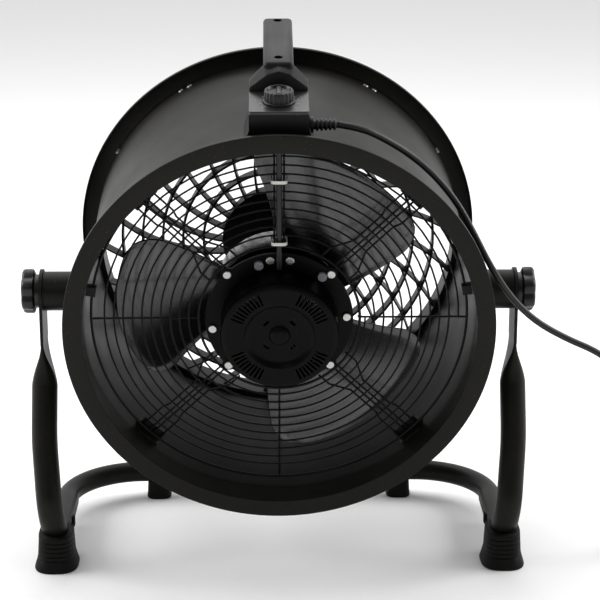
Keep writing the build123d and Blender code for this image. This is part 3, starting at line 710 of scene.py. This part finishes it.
# ---- impeller ----
impeller = {
    "blades": 3, "first": 60, "root": 64, "tip": 174, "halfWide": 36.5, "corner": 30, "middle": 88,
    "halfDeep": 23, "sweep": 10, "arch": 9, "curl": 2.6, "thick": 2.4, "cornerFull": 0.95,
    "edgeShare": 0.1, "tipShare": 0.06, "across": 36, "along": 28,
}
bladePoints, bladeFaces = [], []
across, along, corner = impeller["across"], impeller["along"], impeller["corner"]
for row in range(along + 1):
    share = row / along
    radius = impeller["root"] + (impeller["tip"] - impeller["root"]) * share
    wholeWide = halfWide = math.radians(impeller["halfWide"]) * radius
    into = radius - (impeller["tip"] - corner)
    if into > 0:  # the outer corners are round
        halfWide -= corner * (1 - math.sqrt(max(0.0, 1 - (into / corner) ** 2))) * impeller["cornerFull"]
    for column in range(across + 1):
        spot = column / across * 2 - 1
        aside = halfWide * spot
        level = aside / wholeWide
        angle = math.degrees(aside / radius) + impeller["sweep"] * (share - 0.45)
        sideIn = (abs(spot) - 1 + impeller["edgeShare"]) / impeller["edgeShare"]
        tipIn = (share - 1 + impeller["tipShare"]) / impeller["tipShare"]
        edge = max(0.0, sideIn, tipIn) ** 2
        station = impeller["middle"] + impeller["halfDeep"] * level - impeller["arch"] * (1 - level * level)
        bladePoints.append(polar(radius, angle, station - impeller["curl"] * edge))
for row in range(along):
    for column in range(across):
        first = row * (across + 1) + column
        bladeFaces.append((first, first + 1, first + across + 2, first + across + 1))
impellerMeshes = []
for blade in range(impeller["blades"]):
    spinAngle = -(impeller["first"] + blade * 360 / impeller["blades"])
    spin = Matrix.Rotation(math.radians(spinAngle), 4, "Z")
    bladeSource = meshObject("bladeSource", bladePoints, bladeFaces)
    wallStack = bladeSource.modifiers.new("blade thickness", "SOLIDIFY")
    wallStack.thickness = impeller["thick"] * mm
    wallStack.offset = 0
    rounded(bladeSource, 0.8, 2, 50)
    impellerMeshes.append(settledMesh(bladeSource, drumPlace @ spin))
hubProfile = [
    (6, 109), (20, 109), (24, 112), (65, 112), (70, 107), (70, 70),
    (67, 70), (67, 106), (14, 106), (14, 96), (6, 96),
]
hubSource = rounded(turned("hubSource", hubProfile, 96, closed=True), 0.6)
impellerMeshes.append(settledMesh(hubSource, drumPlace))
addPiece("impellerBlades", impellerMeshes, "impeller", "blade", ("impeller",), 30)

# ---- motor end bell: a turned cover with vents cut through ----
bell = {
    "vents": 9, "ventStep": 5.2, "ventAt": 48, "ventLong": 14, "ventWide": 2.4,
    "slotAt": 19.5, "slotLong": 8, "slotWide": 3, "cutFrom": -10, "cutTo": 12,
}
bellProfile = [
    (0, 8), (11.05, 8), (11.05, 16), (15, 16), (15, 5), (33.5, 5), (38, 1), (56, 1.2), (56, 5),
    (61.5, 5), (61.5, 3.2), (60.4, -0.6), (57.6, -2.6), (54, -3), (39.5, -3), (37.4, -2.6),
    (36, -1), (33.4, 1.6), (30.8, 2.4), (12.6, 2.4), (11.4, 1.9), (10.4, 0), (8.4, -1.6),
    (5, -2.5), (0, -2.8),
]
bellSource = turned("bellSource", bellProfile, 128)
slotRuns = []
for quarter in (45, 135, 225, 315):
    for step in range(bell["vents"]):
        angle = quarter + (step - (bell["vents"] - 1) / 2) * bell["ventStep"]
        slotRuns.append((
            polar(bell["ventAt"], angle), polar(1, angle), bell["ventLong"], bell["ventWide"],
        ))
    slotRuns.append((
        polar(bell["slotAt"], quarter), polar(1, quarter + 90), bell["slotLong"], bell["slotWide"],
    ))
slotPoints, slotFaces = [], []
for middle, longWay, longSize, wideSize in slotRuns:
    longWay = longWay.normalized()
    wideWay = Vector((-longWay.y, longWay.x, 0))
    outline = []
    for end in (1, -1):
        for step in range(7):
            angle = math.radians(-90 + step * 30)
            outline.append(
                longWay * end * ((longSize - wideSize) / 2 + math.cos(angle) * wideSize / 2)
                + wideWay * end * math.sin(angle) * wideSize / 2
            )
    first, count = len(slotPoints), len(outline)
    for station in (bell["cutFrom"], bell["cutTo"]):
        slotPoints += [middle + point * mm + Vector((0, 0, station * mm)) for point in outline]
    slotFaces.append(tuple(first + step for step in range(count - 1, -1, -1)))
    slotFaces.append(tuple(first + count + step for step in range(count)))
    slotFaces += [
        (first + step, first + (step + 1) % count, first + count + (step + 1) % count, first + count + step)
        for step in range(count)
    ]
slotCutter = newObject("slotCutter", settledMesh(meshObject("slotSource", slotPoints, slotFaces)))
ventCut = bellSource.modifiers.new("vents", "BOOLEAN")
ventCut.operation = "DIFFERENCE"
ventCut.object = slotCutter
ventCut.solver = "EXACT"
bellMesh = settledMesh(bellSource, drumPlace)
bpy.data.objects.remove(slotCutter)
addPiece("motorEndBell", [bellMesh], "drum", "motor_paint", ("motor_end_bell",), 30)

# ---- knobs ----
def fluted(name, levels, flutes, sides, sharpness):  # levels of (height, radius, flute depth), in mm
    rings = []
    for height, radius, depth in levels:
        ring = []
        for step in range(sides):
            angle = step * 2 * math.pi / sides
            wave = (0.5 + 0.5 * math.cos(flutes * angle)) ** sharpness
            reach = radius - depth * (1 - wave)
            ring.append(Vector((reach * math.cos(angle), reach * math.sin(angle), height)) * mm)
        rings.append(ring)
    return lofted(name, rings)


speedKnob = [
    (0, 16.4, 0), (1.3, 16.4, 0), (1.7, 16.0, 0), (1.9, 15.2, 0.9), (10.6, 14.7, 0.9),
    (11.6, 14.1, 0.6), (12.0, 13.2, 0.1), (11.9, 12.4, 0), (9.6, 11.2, 0), (9.2, 9.0, 0),
]
knobPlace = placeAt(drumPoint(0, 242.5, 48), (1, 0, 0), drumUp)
pointer = meshObject("pointer", [
    Vector((x * width, y * length, z)) * mm
    for z, width, length in ((8.6, 3.0, 10.8), (11.2, 2.4, 10.4), (11.9, 1.2, 9.8))
    for x, y in ((-1, -1), (1, -1), (1, 1), (-1, 1))
], [
    (3, 2, 1, 0), (8, 9, 10, 11),
    *[
        (level + step, level + (step + 1) % 4, level + 4 + (step + 1) % 4, level + 4 + step)
        for level in (0, 4) for step in range(4)
    ],
])
addPiece("speedKnob", [
    settledMesh(fluted("knobBody", speedKnob, 20, 160, 0.7), knobPlace),
    settledMesh(rounded(pointer, 0.4), knobPlace),
], "speed_knob", "knob", ("speed_knob",), 45)

clampKnob = [
    (0, 18, 0), (4.4, 18.4, 0), (5.0, 20.5, 0.5), (6.2, 24.0, 3.4), (8, 24.6, 4.0), (15.5, 24.5, 4.0),
    (17.6, 23.2, 3.6), (18.4, 21.4, 3.0), (18.5, 16, 1.2), (18.0, 13.5, 0), (16.9, 12.2, 0),
]
clampFrom = 258.5  # millimetres from the middle to the knob's inner face
for side, sideName in ((-1, "Left"), (1, "Right")):
    clampPlace = placeAt(pivotPoint + Vector((side * clampFrom, 0, 0)) * mm, (0, 0, 1), (side, 0, 0))
    lowName = sideName.lower()
    clampBody = fluted("clampBody", clampKnob, 6, 120, 0.55)
    addPiece(
        "clampKnob" + sideName, [settledMesh(clampBody, clampPlace)],
        "clamp_" + lowName, "knob", ("clamp_knob_" + lowName,), 40,
    )

# ---- feet: flared boots ----
boot = {
    "x": 246, "y": -44, "high": 39, "lean": 2, "topX": 18.7, "topY": 27.5, "baseX": 21, "baseY": 29,
    "soleX": 24.5, "soleY": 31, "flareHigh": 14, "flarePower": 0.7, "squareness": 0.72, "sides": 48,
    "grooves": 5, "grooveFirst": 12, "groovePitch": 5.0, "grooveDeep": 1.3,
}
earShape = {"in": 16.5, "y": -20, "halfX": 1.9, "halfY": 4, "low": 34, "high": 46.5}
bootLevels = [(0, 0.97, 0), (0.8, 1.0, 0), (4, 1.0, 0)]  # height, size, depth of the groove there
for groove in range(boot["grooves"]):
    low = boot["grooveFirst"] + groove * boot["groovePitch"]
    bootLevels += [(low, 1.0, 0), (low + 0.5, 1.0, 1), (low + 1.9, 1.0, 1), (low + 2.4, 1.0, 0)]
bootLevels += [(37.6, 1.0, 0), (38.6, 0.99, 0), (39, 0.974, 0)]
for side, sideName in ((-1, "Left"), (1, "Right")):
    rings = []
    for height, grow, groove in bootLevels:
        flare = 1 - min(1, height / boot["flareHigh"]) ** boot["flarePower"]
        share = height / boot["high"]
        halfX = boot["topX"] + (boot["baseX"] - boot["topX"]) * (1 - share)
        halfY = boot["topY"] + (boot["baseY"] - boot["topY"]) * (1 - share)
        halfX += (boot["soleX"] - boot["baseX"]) * flare
        halfY += (boot["soleY"] - boot["baseY"]) * flare
        ring = []
        for step in range(boot["sides"]):
            angle = step * 2 * math.pi / boot["sides"]
            cosine, sine = math.cos(angle), math.sin(angle)
            x = math.copysign(abs(cosine) ** boot["squareness"], cosine) * halfX * grow
            y = math.copysign(abs(sine) ** boot["squareness"], sine) * halfY * grow
            y += boot["grooveDeep"] * groove * max(0, -sine) ** 0.5
            y += pivotPoint.y / mm + boot["y"] + boot["lean"] * share
            ring.append(Vector((side * boot["x"] + x, y, height)) * mm)
        rings.append(ring)
    body = lofted("bootBody", rings)
    earX, earY = side * (boot["x"] - earShape["in"]), pivotPoint.y / mm + earShape["y"]
    ear = meshObject("bootEar", [
        Vector((earX + x * earShape["halfX"], earY + y * earShape["halfY"], z)) * mm
        for z in (earShape["low"], earShape["high"]) for x, y in ((-1, -1), (1, -1), (1, 1), (-1, 1))
    ], boxFaces)
    addPiece(
        "foot" + sideName, [settledMesh(body), settledMesh(rounded(ear, 1.2, 3))],
        "stand", "rubber", ("foot_" + sideName.lower(),), 50,
    )

# ---- handle: a grip on two posts behind a peaked block ----
grip = {
    "half": 15.5, "start": 86, "rear": 232, "chamfer": 8, "top": 268, "foot": 206, "round": 5,
    "holes": (103, 215), "hole": 4.5, "deep": 29,
}
gripOutline = [
    (grip["start"], grip["foot"]), (grip["start"], grip["top"]),
    (grip["rear"] - grip["chamfer"], grip["top"]), (grip["rear"], grip["top"] - grip["chamfer"]),
    (grip["rear"], grip["foot"]), (198, grip["foot"]), (198, 234), (188, 246), (120, 246),
    (110, 234), (110, grip["foot"]),
]
blockEnds = {"front": 76.4, "rear": 94}
blockLow = [(30, 204.7), (15, 206.2), (0, 206.7), (-15, 206.2), (-30, 204.7)]
blockFront = [(-30, 245), (-12, 258.5), (0, 262.5), (12, 258.5), (30, 245), *blockLow]
blockRear = [(-30, 249), (-15.4, 264), (0, 266.5), (15.4, 264), (30, 249), *blockLow]


def inDrum(x, up, station):  # millimetres to a place in the drum's own axes
    return Vector((x, -up, station)) * mm


gripSides = [
    [inDrum(side * grip["half"], up, station) for station, up in gripOutline] for side in (-1, 1)
]
gripBar = rounded(lofted("gripBar", gripSides), grip["round"], 4)
holeCutters = []
for station in grip["holes"]:
    holeRings = []
    for up in (grip["top"] - grip["deep"], grip["top"] + 4):
        turns = [step * math.pi / 12 for step in range(24)]
        holeRings.append([
            inDrum(grip["hole"] * math.cos(angle), up, station + grip["hole"] * math.sin(angle))
            for angle in turns
        ])
    cutter = newObject("holeCutter", settledMesh(lofted("holeSource", holeRings)))
    holeCut = gripBar.modifiers.new("screw hole", "BOOLEAN")
    holeCut.operation = "DIFFERENCE"
    holeCut.object = cutter
    holeCut.solver = "EXACT"
    holeCutters.append(cutter)
gripMesh = settledMesh(gripBar, drumPlace)
for cutter in holeCutters:
    bpy.data.objects.remove(cutter)
block = rounded(lofted("block", [
    [inDrum(x, up, blockEnds["front"]) for x, up in blockFront],
    [inDrum(x, up, blockEnds["rear"]) for x, up in blockRear],
]), 1.6, 3, 20)
addPiece(
    "carryHandle", [gripMesh, settledMesh(block, drumPlace)], "drum", "black_plastic", ("handle",), 35,
)

# ---- rear pads: rubber saddles under the rear tube ----
pad = {"x": 144, "y": 155, "halfX": 14.5, "halfY": 15.5, "squareness": 0.6, "sides": 40}
padLevels = [  # height and size
    (0, 0.95), (0.7, 1), (3, 1), (6, 0.96), (14, 0.94), (19, 0.92), (21.2, 0.87), (22, 0.80),
]
for side, sideName in ((-1, "Left"), (1, "Right")):
    rings = []
    for height, grow in padLevels:
        ring = []
        for step in range(pad["sides"]):
            angle = step * 2 * math.pi / pad["sides"]
            cosine, sine = math.cos(angle), math.sin(angle)
            x = math.copysign(abs(cosine) ** pad["squareness"], cosine) * pad["halfX"] * grow
            y = math.copysign(abs(sine) ** pad["squareness"], sine) * pad["halfY"] * grow
            padMiddle = Vector((side * pad["x"], pivotPoint.y / mm + pad["y"], height))
            ring.append((padMiddle + Vector((x, y, 0))) * mm)
        rings.append(ring)
    addPiece(
        "rearPad" + sideName, [settledMesh(lofted("padBody", rings))],
        "stand", "rubber", ("rear_pad_" + sideName.lower(),), 50,
    )

# ---- the dial's printed marks ----
dial = {
    "inner": 18.6, "outer": 20.6, "halfWide": 0.3, "thick": 0.06, "figures": 23.6, "height": 3.4,
    "first": 225, "last": -45, "steps": 10,
}
markPlace = placeAt(drumPoint(0, 242.02, 48), (1, 0, 0), drumUp)
markMeshes = []
for step in range(dial["steps"] + 1):
    angle = math.radians(dial["first"] + (dial["last"] - dial["first"]) * step / dial["steps"])
    outWay = Vector((math.cos(angle), math.sin(angle), 0))
    sideWay = Vector((-math.sin(angle), math.cos(angle), 0))
    tick = meshObject("tick", [
        (outWay * dial[end] + sideWay * side * dial["halfWide"] + Vector((0, 0, height))) * mm
        for height in (0, dial["thick"])
        for end, side in (("inner", -1), ("outer", -1), ("outer", 1), ("inner", 1))
    ], boxFaces)
    markMeshes.append(settledMesh(tick, markPlace))
    if step % 2 == 0:
        figure = bpy.data.curves.new("figure", "FONT")
        figure.body = str(step // 2)
        figure.size = dial["height"] * mm
        figure.align_x = "CENTER"
        figure.align_y = "CENTER"
        figure.extrude = 0.03 * mm
        figurePlace = markPlace @ Matrix.Translation(outWay * dial["figures"] * mm)
        markMeshes.append(settledMesh(newObject("figure", figure), figurePlace))
finishes["marks"] = coatedMaterial(
    "dialPrint", (0.30, 0.30, 0.29), (0.40, 0.40, 0.39), 0.5, 0.4, 0.01,
)
marks = addPiece("dialMarks", markMeshes, "drum", "marks")

# ---- finishes of the parts kept from the frame ----
slotOf = {part["node"]: part["material_slot"] for part in frame["record"]["subparts"]}
for name, node in nodes.items():
    node.data.materials.clear()
    node.data.materials.append(finishes[slotOf[name]])

low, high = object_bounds()
print("finished")
